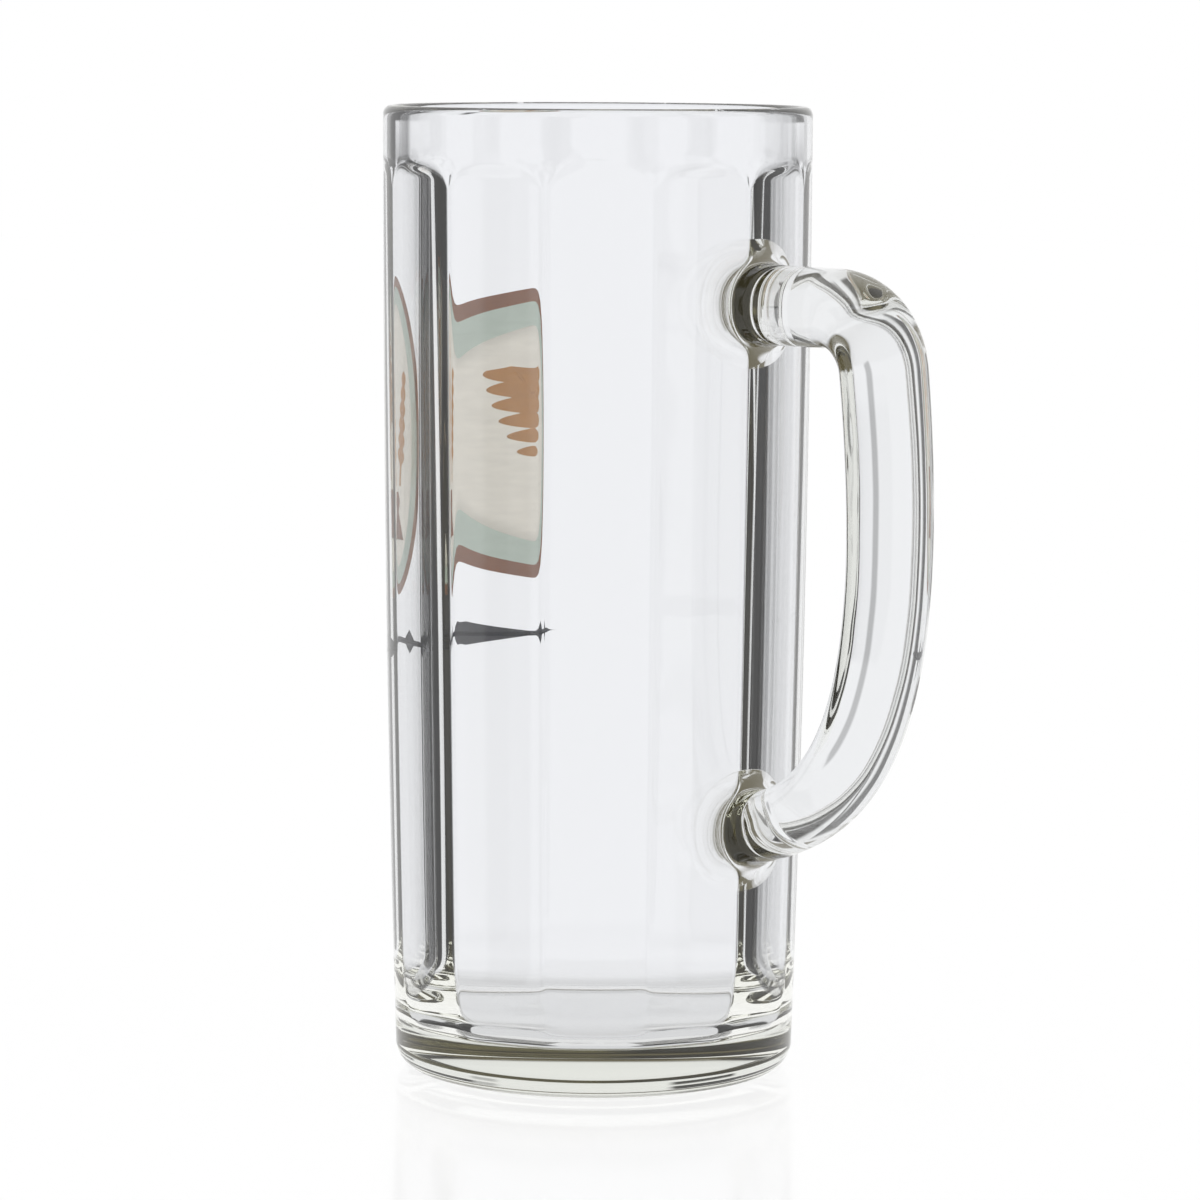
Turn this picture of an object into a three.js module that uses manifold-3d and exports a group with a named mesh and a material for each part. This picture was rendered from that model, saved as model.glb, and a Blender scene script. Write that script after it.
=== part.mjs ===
// Half-litre beer mug of pressed glass: a tapered body that is round outside and twelve-sided inside,
// a D-shaped glass handle fused to it, and a printed medallion opposite the handle.
// Millimetres and degrees, +Z up, origin on the mug's axis in the plane that it stands on, handle along +X.
import * as THREE from "three";
import { mergeVertices } from "three/addons/utils/BufferGeometryUtils.js";
import { TessellateModifier } from "three/addons/modifiers/TessellateModifier.js";
import Module from "manifold-3d";

// Body, outside
const height = 181;
const rimRadius = 40;
const footRadius = 37.3;
const taperPower = 2.2;
const footCornerRadius = 5;
const standingRingWidth = 5.5;
const recessSlopeWidth = 1.5;
const recessDepth = 0.8;

// Body, inside
const rimWall = 3;
const lipRise = 1.7;
const panelWall = 3.5;
const panelDraft = 3.1;
const panelCount = 12;
const archApexBelowRim = 10.7;
const archShoulderBelowRim = 15.7;
const archSquareness = 2.4;
const archLedgeRise = 1.6;
const floorThickness = 8.5;
const floorSweepIn = 7;
const floorSweepUp = 15;

// Handle
const armThickness = 14.6;
const armWidth = 17;
const lowerThickness = 12.8;
const lowerWidth = 15.6;
const sectionSquareness = 2.3;
const handleReach = 32;
const upperArmBelowRim = 35.3;
const upperBendRadius = 12.4;
const barLean = 6.7;
const barTurnAboveRoot = 14.6;
const lowerRootHeight = 48.9;
const lowerRun = 20;
const lowerRootSlope = 12.7;
const rootFlare = 3.7;
const rootFlareLength = 6;
const creaseOffset = 6.9;
const creaseHalfWidth = 0.9;
const creaseDepth = 0.35;
const weldGap = 0.3;

// Print, seen from outside the mug
const inkThickness = 0.25;
const inkGap = 0.2;
const medallionCentreBelowRim = 64;
const medallionHalfWidth = 18;
const medallionHalfHeight = 31;
const borderWidth = 1.9;
const bandWidth = 2.2;
const colourGap = 0.4;
const stalkClearance = 1.6;
const ruleLength = 62;
const ruleHalfHeight = 0.45;
const beadHalfHeight = 2.3;
const beadHalfWidth = 2.6;
const beadCount = 5;
const beadPitch = 10.5;
const ruleBelowMedallion = 7.6;

// Sheaf of barley on the medallion, as shares of its field's half width
const earCount = 3;
const earSpread = 8.4;
const earPivotDepth = 3.5;
const earLength = 1.37;
const earHalfWidth = 0.168;
const earTipTaper = 0.5;
const kernelCount = 6;
const kernelNotch = 0.45;
const kernelBulgeHeight = 0.55;
const stalkLength = 0.84;
const stalkStep = 0.5;
const stalkHalfWidth = 0.046;
const sheafWaist = -0.8;
const tieHeight = 0.29;
const tieHalfWidth = 0.4;
const tieEndHalfWidth = 0.33;
const skirtDrop = 0.69;
const skirtHalfWidth = 0.57;
const skirtNotch = 0.11;

// Fineness of the facets
const columnsPerPanel = 8;
const arcSteps = 6;
const wallSteps = 6;
const sweepSteps = 5;
const handleSides = 18;
const flareSteps = 3;
const barSteps = 26;
const envelopeSides = 120;
const ovalSteps = 36;
const inkMaxEdge = 6;
const inkSplits = 8;

const wasm = await Module();
wasm.setup();

const radians = THREE.MathUtils.degToRad;
const lerp = THREE.MathUtils.lerp;

// Radius of the outside at height z: almost upright below the rim, with more and more taper towards the foot.
function wallRadius(z) {
  const belowRim = Math.max(1 - z / height, 0);
  return rimRadius - (rimRadius - footRadius) * belowRim ** taperPower;
}

// Closed surface through a list of rings; a ring of one point closes an end.
function loft(rings) {
  const points = rings.flat();
  const starts = [];
  let total = 0;
  for (const ring of rings) {
    starts.push(total);
    total += ring.length;
  }
  const index = [];
  for (let i = 0; i + 1 < rings.length; i += 1) {
    const here = rings[i].length;
    const next = rings[i + 1].length;
    const count = Math.max(here, next);
    for (let j = 0; j < count; j += 1) {
      const k = (j + 1) % count;
      const a = starts[i] + (here > 1 ? j : 0);
      const d = starts[i] + (here > 1 ? k : 0);
      const b = starts[i + 1] + (next > 1 ? j : 0);
      const c = starts[i + 1] + (next > 1 ? k : 0);
      if (next > 1) index.push(a, b, c);
      if (here > 1) index.push(a, c, d);
    }
  }
  const geometry = new THREE.BufferGeometry().setFromPoints(points);
  geometry.setIndex(index);
  return geometry;
}

// A closed geometry as a solid that can be joined and cut.
function solid(geometry) {
  const bare = geometry.clone();
  bare.deleteAttribute("normal");
  bare.deleteAttribute("uv");
  const merged = mergeVertices(bare);
  const vertProperties = new Float32Array(merged.attributes.position.array);
  const triVerts = new Uint32Array(merged.index.array);
  return new wasm.Manifold(new wasm.Mesh({ numProp: 3, vertProperties, triVerts }));
}

// A cut or joined solid as a geometry again.
function geometryOf(made) {
  const mesh = made.getMesh();
  const geometry = new THREE.BufferGeometry();
  geometry.setAttribute("position", new THREE.BufferAttribute(new Float32Array(mesh.vertProperties), 3));
  geometry.setIndex(new THREE.BufferAttribute(new Uint32Array(mesh.triVerts), 1));
  return geometry;
}

// Columns round the mug: across lies from -1 at one edge of a panel to +1 at the other, closest at the edges,
// and a panel edge faces the handle.
const halfPanel = Math.PI / panelCount;
const columns = [];
for (let panel = 0; panel < panelCount; panel += 1) {
  for (let k = 0; k < columnsPerPanel; k += 1) {
    const across = Math.sin((Math.PI / 2) * ((2 * k) / columnsPerPanel - 1));
    columns.push({ across, angle: halfPanel * (2 * panel + 1 + across) });
  }
}

const axis = new THREE.Vector3(0, 0, 1);

// One ring of the body: radius and height are functions of the column.
function ringOf(radiusAt, heightAt) {
  return columns.map((column) => {
    const point = new THREE.Vector3(radiusAt(column), 0, heightAt(column));
    return point.applyAxisAngle(axis, column.angle);
  });
}

function roundRing(radius, z) {
  return ringOf(
    () => radius,
    () => z,
  );
}

// Distance of a panel's middle line from the axis: straight, with the draft of a pressing tool, down to the
// floor's sweep, a quarter ellipse that draws the panels in to the floor.
function panelApothem(z) {
  const rise = Math.min((z - floorThickness) / floorSweepUp, 1);
  const sweep = floorSweepIn * (1 - Math.sqrt(1 - (1 - rise) ** 2));
  const draft = panelDraft * (1 - z / height);
  return rimRadius - panelWall - draft - sweep;
}

function panelRing(z) {
  return ringOf(
    (column) => panelApothem(z) / Math.cos(halfPanel * column.across),
    () => z,
  );
}

// Height of the arched top of a panel.
function archHeight(across) {
  const apex = height - archApexBelowRim;
  const shoulder = height - archShoulderBelowRim;
  const bow = (1 - Math.abs(across) ** archSquareness) ** (1 / archSquareness);
  return shoulder + (apex - shoulder) * bow;
}

// Pressed body: up the twelve panels, over their arched ledges to an even rim band, over the lip,
// down the outside and under the foot to its shallow recess.
function bodyGeometry() {
  const rings = [[new THREE.Vector3(0, 0, floorThickness)]];
  for (let i = 0; i <= sweepSteps; i += 1) {
    const turn = (Math.PI / 2) * (i / sweepSteps);
    rings.push(panelRing(floorThickness + floorSweepUp * (1 - Math.cos(turn))));
  }
  const archFoot = ({ across }) => archHeight(across);
  const archTop = ({ across }) => archHeight(across) + archLedgeRise;
  rings.push(
    ringOf((column) => panelApothem(archFoot(column)) / Math.cos(halfPanel * column.across), archFoot),
    ringOf((column) => wallRadius(archTop(column)) - rimWall, archTop),
  );
  const lipBase = height - lipRise;
  const lipMiddle = wallRadius(lipBase) - rimWall / 2;
  for (let i = 0; i <= 2 * arcSteps; i += 1) {
    const turn = Math.PI * (1 - i / (2 * arcSteps));
    rings.push(roundRing(lipMiddle + (rimWall / 2) * Math.cos(turn), lipBase + lipRise * Math.sin(turn)));
  }
  for (let i = 1; i < wallSteps; i += 1) {
    const z = lerp(lipBase, footCornerRadius, i / wallSteps);
    rings.push(roundRing(wallRadius(z), z));
  }
  const cornerCentre = wallRadius(footCornerRadius) - footCornerRadius;
  for (let i = 0; i <= arcSteps; i += 1) {
    const turn = (Math.PI / 2) * (i / arcSteps);
    const radius = cornerCentre + footCornerRadius * Math.cos(turn);
    rings.push(roundRing(radius, footCornerRadius * (1 - Math.sin(turn))));
  }
  const ringInside = cornerCentre - standingRingWidth;
  rings.push(
    roundRing(ringInside, 0),
    roundRing(ringInside - recessSlopeWidth, recessDepth),
    [new THREE.Vector3(0, 0, recessDepth)],
  );
  return loft(rings);
}

// Solid that fills the mug's taper and stands a little proud of it, to cut what is fused to the wall.
function wallEnvelope(clearance) {
  const profile = [new THREE.Vector2(0, 0)];
  for (let i = 0; i <= wallSteps; i += 1) {
    const z = height * (i / wallSteps);
    profile.push(new THREE.Vector2(wallRadius(z) + clearance, z));
  }
  profile.push(new THREE.Vector2(0, height));
  return solid(new THREE.LatheGeometry(profile, envelopeSides).rotateX(Math.PI / 2));
}

// Centre line of the handle in its own plane, from inside the wall to inside the wall: out along the
// upper arm, round the upper bend until the bar leans a little outwards, and down and in to the lower root
// on one cubic curve.
const rootSink = armThickness;

function handlePath() {
  const armHeight = height - upperArmBelowRim;
  const lean = radians(barLean);
  const barRadius = rimRadius + handleReach;
  const bendMiddle = new THREE.Vector2(barRadius - upperBendRadius, armHeight - upperBendRadius);
  const leanSide = new THREE.Vector2(Math.cos(lean), Math.sin(lean));
  const bendEnd = bendMiddle.clone().addScaledVector(leanSide, upperBendRadius);
  const slope = radians(lowerRootSlope);
  const inward = new THREE.Vector2(-Math.cos(slope), -Math.sin(slope));
  const root = new THREE.Vector2(wallRadius(lowerRootHeight), lowerRootHeight);
  const sunk = root.clone().addScaledVector(inward, rootSink);
  const approach = root.clone().addScaledVector(inward, -lowerRun);
  const turnDrop = bendEnd.y - root.y - barTurnAboveRoot;
  const turn = new THREE.Vector2(bendEnd.x + turnDrop * Math.tan(lean), bendEnd.y - turnDrop);
  const path = new THREE.Path();
  path.moveTo(wallRadius(armHeight) - rootSink, armHeight);
  path.lineTo(bendMiddle.x, armHeight);
  path.absarc(bendMiddle.x, bendMiddle.y, upperBendRadius, Math.PI / 2, lean, true);
  path.bezierCurveTo(turn.x, turn.y, approach.x, approach.y, root.x, root.y);
  path.lineTo(sunk.x, sunk.y);
  return path;
}

// How far a root swells beyond the bar at a distance from the wall: a flared pad, then a pressed crease.
function rootSwell(fromWall) {
  const flare = rootFlare * Math.min(Math.max(1 - fromWall / rootFlareLength, 0), 1) ** 2;
  const groove = creaseDepth * Math.max(1 - Math.abs(fromWall - creaseOffset) / creaseHalfWidth, 0);
  return flare - groove;
}

// Distances along the path at which the bar's section is drawn, closest at the two roots.
function handleStations(length) {
  const root = [-rootSink, 0];
  for (let i = 1; i < flareSteps; i += 1) root.push((rootFlareLength * i) / flareSteps);
  root.push(creaseOffset - creaseHalfWidth, creaseOffset, creaseOffset + creaseHalfWidth);
  const upper = root.map((offset) => rootSink + offset);
  const lower = root.map((offset) => length - rootSink - offset).reverse();
  const from = upper.at(-1);
  const span = lower[0] - from;
  const middle = [];
  for (let i = 1; i < barSteps; i += 1) middle.push(from + (span * i) / barSteps);
  return [...upper, ...middle, ...lower];
}

// Oval bar swept along the handle's path, slimmer towards its foot, flared where it meets the wall
// and cut to the wall's taper.
function handleGeometry() {
  const path = handlePath();
  const length = path.getLength();
  const rings = [];
  for (const station of handleStations(length)) {
    const share = station / length;
    const centre = path.getPointAt(share);
    const along = path.getTangentAt(share);
    const swell = rootSwell(Math.min(station, length - station) - rootSink);
    const thickness = lerp(armThickness, lowerThickness, share) / 2 + swell;
    const width = lerp(armWidth, lowerWidth, share) / 2 + swell;
    const ring = [];
    for (let j = 0; j < handleSides; j += 1) {
      const turn = (2 * Math.PI * j) / handleSides;
      const out = Math.sign(Math.cos(turn)) * Math.abs(Math.cos(turn)) ** (2 / sectionSquareness);
      const side = Math.sign(Math.sin(turn)) * Math.abs(Math.sin(turn)) ** (2 / sectionSquareness);
      const lift = thickness * out;
      ring.push(new THREE.Vector3(centre.x - along.y * lift, width * side, centre.y + along.x * lift));
    }
    rings.push(ring);
  }
  const first = path.getPointAt(0);
  const last = path.getPointAt(1);
  rings.unshift([new THREE.Vector3(first.x, 0, first.y)]);
  rings.push([new THREE.Vector3(last.x, 0, last.y)]);
  return geometryOf(solid(loft(rings)).subtract(wallEnvelope(weldGap)));
}

// A flat drawing laid round the wall: x runs to the right round the girth, y up from the given height.
function printed(shape, centreHeight) {
  const flat = new THREE.ExtrudeGeometry(shape, { depth: inkThickness, bevelEnabled: false });
  flat.deleteAttribute("normal");
  flat.deleteAttribute("uv");
  const fine = mergeVertices(new TessellateModifier(inkMaxEdge, inkSplits).modify(flat));
  const place = fine.attributes.position;
  for (let i = 0; i < place.count; i += 1) {
    const z = centreHeight + place.getY(i);
    const angle = Math.PI + place.getX(i) / wallRadius(z);
    const radius = wallRadius(z) + inkGap + place.getZ(i);
    place.setXYZ(i, radius * Math.cos(angle), radius * Math.sin(angle), z);
  }
  return fine;
}

// Insets of the medallion's inner parts from its edge, and the unit that the sheaf is drawn in.
const bandInset = borderWidth + colourGap;
const fieldInset = bandInset + bandWidth + colourGap;
const motif = medallionHalfWidth - fieldInset;

// Upright oval, drawn in the medallion's own coordinates and inset from its edge.
function oval(inset, Kind) {
  const outline = new Kind();
  const points = [];
  for (let i = 0; i < ovalSteps; i += 1) {
    const turn = (2 * Math.PI * i) / ovalSteps;
    const x = (medallionHalfWidth - inset) * Math.cos(turn);
    const y = (medallionHalfHeight - inset) * Math.sin(turn);
    points.push(new THREE.Vector2(x, y));
  }
  outline.setFromPoints(points);
  outline.closePath();
  return outline;
}

function ovalRing(inset, width) {
  const shape = oval(inset, THREE.Shape);
  shape.holes.push(oval(inset + width, THREE.Path));
  return shape;
}

// Ear of barley on its stalk, leaning about a pivot below the medallion, each place from the middle lower
// than the last; grow widens it all round.
function earPoints(place, grow) {
  const foot = sheafWaist * motif + stalkClearance;
  const base = foot + (stalkLength - stalkStep * Math.abs(place)) * motif;
  const pitch = (earLength * motif) / kernelCount;
  const right = [new THREE.Vector2(stalkHalfWidth * motif + grow, foot - grow)];
  for (let i = 0; i < kernelCount; i += 1) {
    const bulge = earHalfWidth * motif * (1 - earTipTaper * (i / kernelCount) ** 2);
    right.push(new THREE.Vector2(bulge * kernelNotch + grow, base + pitch * i));
    right.push(new THREE.Vector2(bulge + grow, base + pitch * (i + kernelBulgeHeight)));
  }
  const tip = new THREE.Vector2(0, base + earLength * motif + 2 * grow);
  const left = right.map((point) => new THREE.Vector2(-point.x, point.y)).reverse();
  const pivot = new THREE.Vector2(0, -earPivotDepth * motif);
  const lean = -radians(earSpread * place);
  return [...right, tip, ...left].map((point) => point.rotateAround(pivot, lean));
}

// Foot of the sheaf: the tie and the cut stalks that spread below it.
function sheafFootPoints(grow) {
  const top = sheafWaist * motif;
  const low = top - skirtDrop * motif;
  const right = [
    new THREE.Vector2(tieEndHalfWidth * motif + grow, top + grow),
    new THREE.Vector2(tieHalfWidth * motif + grow, top - (tieHeight / 2) * motif),
    new THREE.Vector2(tieEndHalfWidth * motif + grow, top - tieHeight * motif),
    new THREE.Vector2(skirtHalfWidth * motif + grow, low - grow),
    new THREE.Vector2((skirtHalfWidth / 2) * motif, low + skirtNotch * motif - grow),
  ];
  const left = right.map((point) => new THREE.Vector2(-point.x, point.y)).reverse();
  return [...right, ...left];
}

// Thin rule with diamond beads along it.
function ruleShape() {
  const upper = [];
  for (let i = 0; i < beadCount; i += 1) {
    const middle = beadPitch * (i - (beadCount - 1) / 2);
    upper.push(new THREE.Vector2(middle - beadHalfWidth, ruleHalfHeight));
    upper.push(new THREE.Vector2(middle, beadHalfHeight));
    upper.push(new THREE.Vector2(middle + beadHalfWidth, ruleHalfHeight));
  }
  const lower = upper.map((point) => new THREE.Vector2(point.x, -point.y)).reverse();
  const end = ruleLength / 2;
  return new THREE.Shape([new THREE.Vector2(-end, 0), ...upper, new THREE.Vector2(end, 0), ...lower]);
}

const glass = new THREE.MeshStandardMaterial({
  color: 0xdde5df,
  roughness: 0.04,
  metalness: 0,
  transparent: true,
  opacity: 0.4,
});

function ink(color) {
  return new THREE.MeshStandardMaterial({ color, roughness: 0.35, metalness: 0 });
}

const copperInk = ink(0x915f41);
const greyGreenInk = ink(0xb2beb6);
const creamInk = ink(0xdedad2);
const goldInk = ink(0xb9803f);
const navyInk = ink(0x1c2030);

const mug = new THREE.Group();

function add(name, geometry, material) {
  const mesh = new THREE.Mesh(geometry, material);
  mesh.name = name;
  mug.add(mesh);
}

add("glass_body", bodyGeometry(), glass);
add("handle", handleGeometry(), glass);

// Medallion: two oval rings round a cream field, with the sheaf let into the field
const medallionHeight = height - medallionCentreBelowRim;
const field = oval(fieldInset, THREE.Shape);
add("print_border", printed(ovalRing(0, borderWidth), medallionHeight), copperInk);
add("print_band", printed(ovalRing(bandInset, bandWidth), medallionHeight), greyGreenInk);
for (let i = 0; i < earCount; i += 1) {
  const place = i - (earCount - 1) / 2;
  field.holes.push(new THREE.Path(earPoints(place, colourGap)));
  add(`print_ear_${i + 1}`, printed(new THREE.Shape(earPoints(place, 0)), medallionHeight), goldInk);
}
field.holes.push(new THREE.Path(sheafFootPoints(colourGap)));
add("print_sheaf_foot", printed(new THREE.Shape(sheafFootPoints(0)), medallionHeight), copperInk);
add("print_field", printed(field, medallionHeight), creamInk);

// Beaded rule below the medallion
const ruleHeight = medallionHeight - medallionHalfHeight - ruleBelowMedallion;
add("print_rule", printed(ruleShape(), ruleHeight), navyInk);

export default mug;
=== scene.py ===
# %% [markdown]
# # A half-litre beer mug of pressed glass
#
# The mug is two pieces of clear glass and a small print. The body was pressed in a mould: round
# outside, with twelve flat panels inside that end in arches under a plain rim. The handle was
# pressed on to the wall while both were hot, so the glass runs through from one to the other. The
# print is fired on the outside, opposite the handle. Every piece below is a surface worked out with
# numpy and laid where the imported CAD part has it. The frame is in metres, with +Z up along the
# mug's axis and the handle towards +X.

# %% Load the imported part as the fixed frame
import math

import bpy
import numpy as np
from mathutils import Matrix, Vector


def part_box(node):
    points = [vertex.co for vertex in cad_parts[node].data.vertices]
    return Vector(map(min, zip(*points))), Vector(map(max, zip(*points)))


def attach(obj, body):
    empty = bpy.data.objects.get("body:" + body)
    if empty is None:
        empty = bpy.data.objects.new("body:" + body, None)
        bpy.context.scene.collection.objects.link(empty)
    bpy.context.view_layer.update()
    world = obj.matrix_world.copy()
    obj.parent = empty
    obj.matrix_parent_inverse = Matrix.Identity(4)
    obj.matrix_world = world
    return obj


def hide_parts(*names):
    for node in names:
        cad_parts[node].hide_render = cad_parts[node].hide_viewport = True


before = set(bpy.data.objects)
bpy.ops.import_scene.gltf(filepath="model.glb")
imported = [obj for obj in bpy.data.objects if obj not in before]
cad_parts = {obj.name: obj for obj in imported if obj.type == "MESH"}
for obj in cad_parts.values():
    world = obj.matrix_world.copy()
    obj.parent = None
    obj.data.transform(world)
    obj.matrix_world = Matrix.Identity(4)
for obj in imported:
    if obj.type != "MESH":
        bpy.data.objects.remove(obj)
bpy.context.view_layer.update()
_, body_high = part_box("glass_body")
MM = 0.001

# %% [markdown]
# ## Skins from rings
#
# A vessel and a handle are both a ring carried along a path. A grid of points with one row for each
# ring is all that such a piece needs: neighbours in the grid make the faces, and a fan closes each
# end. The sign of the enclosed volume shows whether the faces point outwards, so a mesh is never
# left inside out.

# %% Turn grids of points into closed meshes
NO_FANS = np.empty((0, 3), int)


def skin_faces(rows, columns):
    """Corner numbers of the quads between the rows of a grid whose columns run once round."""
    row, column = np.meshgrid(np.arange(rows - 1), np.arange(columns), indexing="ij")
    here = row * columns + column
    beside = row * columns + (column + 1) % columns
    return np.stack([here, beside, beside + columns, here + columns], -1).reshape(-1, 4)


def enclosed_volume(points, triangles):
    """Sum of the signed volumes of the tetrahedra that the triangles make with the origin."""
    a, b, c = (points[triangles[:, k]] for k in range(3))
    return np.einsum("ij,ij->i", a, np.cross(b, c)).sum() / 6


def add_piece(name, points, quads, fans, replaces, smooth=True):
    triangles = np.concatenate([quads[:, [0, 1, 2]], quads[:, [0, 2, 3]], fans])
    volume = enclosed_volume(points, triangles)
    order = 1 if volume > 0 else -1
    faces = [*quads[:, ::order].tolist(), *fans[:, ::order].tolist()]
    mesh = bpy.data.meshes.new(name)
    mesh.from_pydata(points.tolist(), [], faces)
    mesh.polygons.foreach_set("use_smooth", np.full(len(faces), smooth))
    mesh.update()
    piece = bpy.data.objects.new(name, mesh)
    bpy.context.scene.collection.objects.link(piece)
    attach(piece, "root")
    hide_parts(replaces)
    print(f"{name}: {len(faces)} faces, {abs(volume) / MM ** 3:.1f} cubic mm")
    return piece


def closed_skin(name, rings, replaces, weld=None):
    """Piece through rings of shape (rows, columns, 3), with a fan to the ring's middle at both ends."""
    rows, columns = rings.shape[:2]
    points = np.concatenate([rings.reshape(-1, 3), rings[[0, -1]].mean(1)])
    here = np.arange(columns)
    after = (here + 1) % columns
    last = (rows - 1) * columns
    start = np.stack([after, here, np.full(columns, rows * columns)], -1)
    end = np.stack([last + here, last + after, np.full(columns, rows * columns + 1)], -1)
    fans = np.concatenate([start, end])
    piece = add_piece(name, points, skin_faces(rows, columns), fans, replaces)
    if weld is not None:
        depth = np.concatenate([weld.ravel(), weld[[0, -1]].mean(1)])
        attribute = piece.data.attributes.new("weld", "FLOAT", "POINT")
        attribute.data.foreach_set("value", depth.astype(np.float32))
    return piece


def endless_skin(name, loops, replaces):
    """Piece through loops of shape (rows, columns, 3) where the last row joins the first again."""
    rows, columns = loops.shape[:2]
    quads = skin_faces(rows + 1, columns) % (rows * columns)
    return add_piece(name, loops.reshape(-1, 3), quads, NO_FANS, replaces, smooth=False)


# %% [markdown]
# ## The wall
#
# The outside of the body is almost upright below the rim and tapers more and more towards the foot.
# One radius for each height says it all, and the handle and the print both take their places from
# it.

# %% Radius of the outside at any height
HEIGHT = body_high.z
RIM_RADIUS = 40 * MM
FOOT_RADIUS = 37.3 * MM
TAPER_POWER = 2.2


def wall_radius(z):
    """Bowed taper from the rim's radius at the top to the foot's radius at the bottom."""
    below_rim = np.clip(1 - z / HEIGHT, 0, None)
    return RIM_RADIUS - (RIM_RADIUS - FOOT_RADIUS) * below_rim ** TAPER_POWER


# %% [markdown]
# ## The handle's route
#
# The handle leaves the wall level, turns down in one bend until it leans a little outwards, and
# comes back to the wall along a long curve. All of it lies in the plane y = 0, so the route is a
# list of (x, z) points: a line, an arc and a cubic curve. It is measured once along its length and
# can then be asked for its place and direction at any distance, also a little way inside the wall
# at either end.

# %% Lay out the route and measure it
ARM_HEIGHT = HEIGHT - 35.3 * MM
BAR_RADIUS = RIM_RADIUS + 31.7 * MM
BEND_RADIUS = 12.4 * MM
BEND_POINTS = 120
BAR_LEAN = math.radians(6.7)
BAR_POINTS = 600
ROOT_HEIGHT = 48.9 * MM
ROOT_SLOPE = math.radians(12.7)
ROOT_RUN = 20 * MM
TURN_ABOVE_ROOT = 14.6 * MM
INSIDE = 12 * MM
NORMAL_REACH = 0.4 * MM

root_axis = np.array([math.cos(ROOT_SLOPE), math.sin(ROOT_SLOPE)])
arm_start = np.array([wall_radius(ARM_HEIGHT), ARM_HEIGHT])
arm_end = np.array([BAR_RADIUS - BEND_RADIUS, ARM_HEIGHT])
bend_middle = arm_end - [0, BEND_RADIUS]
root = np.array([wall_radius(ROOT_HEIGHT), ROOT_HEIGHT])


def cubic(a, b, c, d, count):
    """Bezier curve from a to d that leaves towards b and arrives from c."""
    t = np.linspace(0, 1, count)[:, None]
    return (1 - t) ** 3 * a + 3 * (1 - t) ** 2 * t * b + 3 * (1 - t) * t ** 2 * c + t ** 3 * d


bend_turn = np.linspace(math.pi / 2, BAR_LEAN, BEND_POINTS)[1:, None]
bend = bend_middle + BEND_RADIUS * np.concatenate([np.cos(bend_turn), np.sin(bend_turn)], 1)
turn_drop = bend[-1, 1] - ROOT_HEIGHT - TURN_ABOVE_ROOT
bar_turn = bend[-1] + turn_drop * np.array([math.tan(BAR_LEAN), -1])
bar = cubic(bend[-1], bar_turn, root + ROOT_RUN * root_axis, root, BAR_POINTS)[1:]
inside_arm = arm_start - [INSIDE, 0]
inside_root = root - INSIDE * root_axis
route = np.concatenate([[inside_arm, arm_start, arm_end], bend, bar, [inside_root]])
steps = np.linalg.norm(np.diff(route, axis=0), axis=1)
route_place = np.concatenate([[0], np.cumsum(steps)]) - INSIDE
ROUTE_LENGTH = route_place[-1] - INSIDE
print(f"handle route from wall to wall: {ROUTE_LENGTH / MM:.1f} mm")


def route_point(place):
    """Point (x, z) of the route at a distance from the upper root, found between the listed points."""
    return np.stack([np.interp(place, route_place, route[:, k]) for k in range(2)], -1)


def route_normal(place):
    """Unit vector in the route's plane: the direction of travel turned a quarter to the outside."""
    travel = route_point(place + NORMAL_REACH) - route_point(place - NORMAL_REACH)
    travel = travel / np.linalg.norm(travel, axis=-1, keepdims=True)
    return np.stack([-travel[..., 1], travel[..., 0]], -1)


# %% [markdown]
# ## The roots, where handle and wall are one glass
#
# At each root the bar swells into a pad that runs out on the wall in a hollow curve. Inside the pad
# there is no surface in the real glass. Each of the two pieces is still a closed mesh here, so the
# wall below a pad, and the end of the handle that is sunk in the wall, are marked by an attribute
# named weld. It is above zero where the surface lies inside the other piece, and the glass lets
# light pass there unbent.

# %% Sizes of the bar and of the pads at its roots
ARM_HALF_THICK = 7.3 * MM
ARM_HALF_WIDE = 8.5 * MM
FOOT_HALF_THICK = 6.4 * MM
FOOT_HALF_WIDE = 7.8 * MM
BAR_SQUARENESS = 2.3
PAD_SPREAD = 4.5 * MM
PAD_LENGTH = 4.5 * MM
PAD_EDGE = 0.87
CREASE_PLACE = 6.9 * MM
CREASE_HALF_WIDTH = 0.9 * MM
CREASE_DEPTH = 0.35 * MM
PAD_ZONE = 9 * MM
SUNK = 0.15 * MM


def ease(t):
    """Runs from 0 to 1 and leaves and arrives level."""
    return t * t * (3 - 2 * t)


def pad_swell(away):
    """Swelling at a distance from the wall: a hollow curve that runs out on it, then a rounded crease."""
    near = PAD_EDGE * np.clip(1 - away / PAD_LENGTH, 0, 1)
    spread = PAD_SPREAD * (1 - np.sqrt(1 - near ** 2)) / (1 - math.sqrt(1 - PAD_EDGE ** 2))
    groove = np.clip(1 - np.abs(away - CREASE_PLACE) / CREASE_HALF_WIDTH, 0, 1)
    return spread - CREASE_DEPTH * ease(groove)


def weld_depth(points, at, axis, half_thick, half_wide):
    """How far inside a pad's outline a point of the wall lies: one minus the superellipse's own measure."""
    normal = np.array([-axis[1], axis[0]])
    v = (points[..., [0, 2]] - at) @ normal / (half_thick + PAD_SPREAD)
    w = points[..., 1] / (half_wide + PAD_SPREAD)
    inside = 1 - np.abs(v) ** BAR_SQUARENESS - np.abs(w) ** BAR_SQUARENESS
    return np.where(points[..., 0] > 0, inside, -1)


# %% [markdown]
# ## The body
#
# From the middle of the floor the surface runs out to the panels, up to their arches, over a small
# ledge to the round rim band, over the lip, down the outside and under the foot. All rings share
# the same columns, so the whole body is one grid. The twelve flats come from one formula: the
# distance to a flat's plane is divided by a high power mean of the cosines to all twelve flats,
# which is a polygon with slightly rounded corners. Two arches meet at a modest slope, so that no
# sharp fold stands between them.

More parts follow.
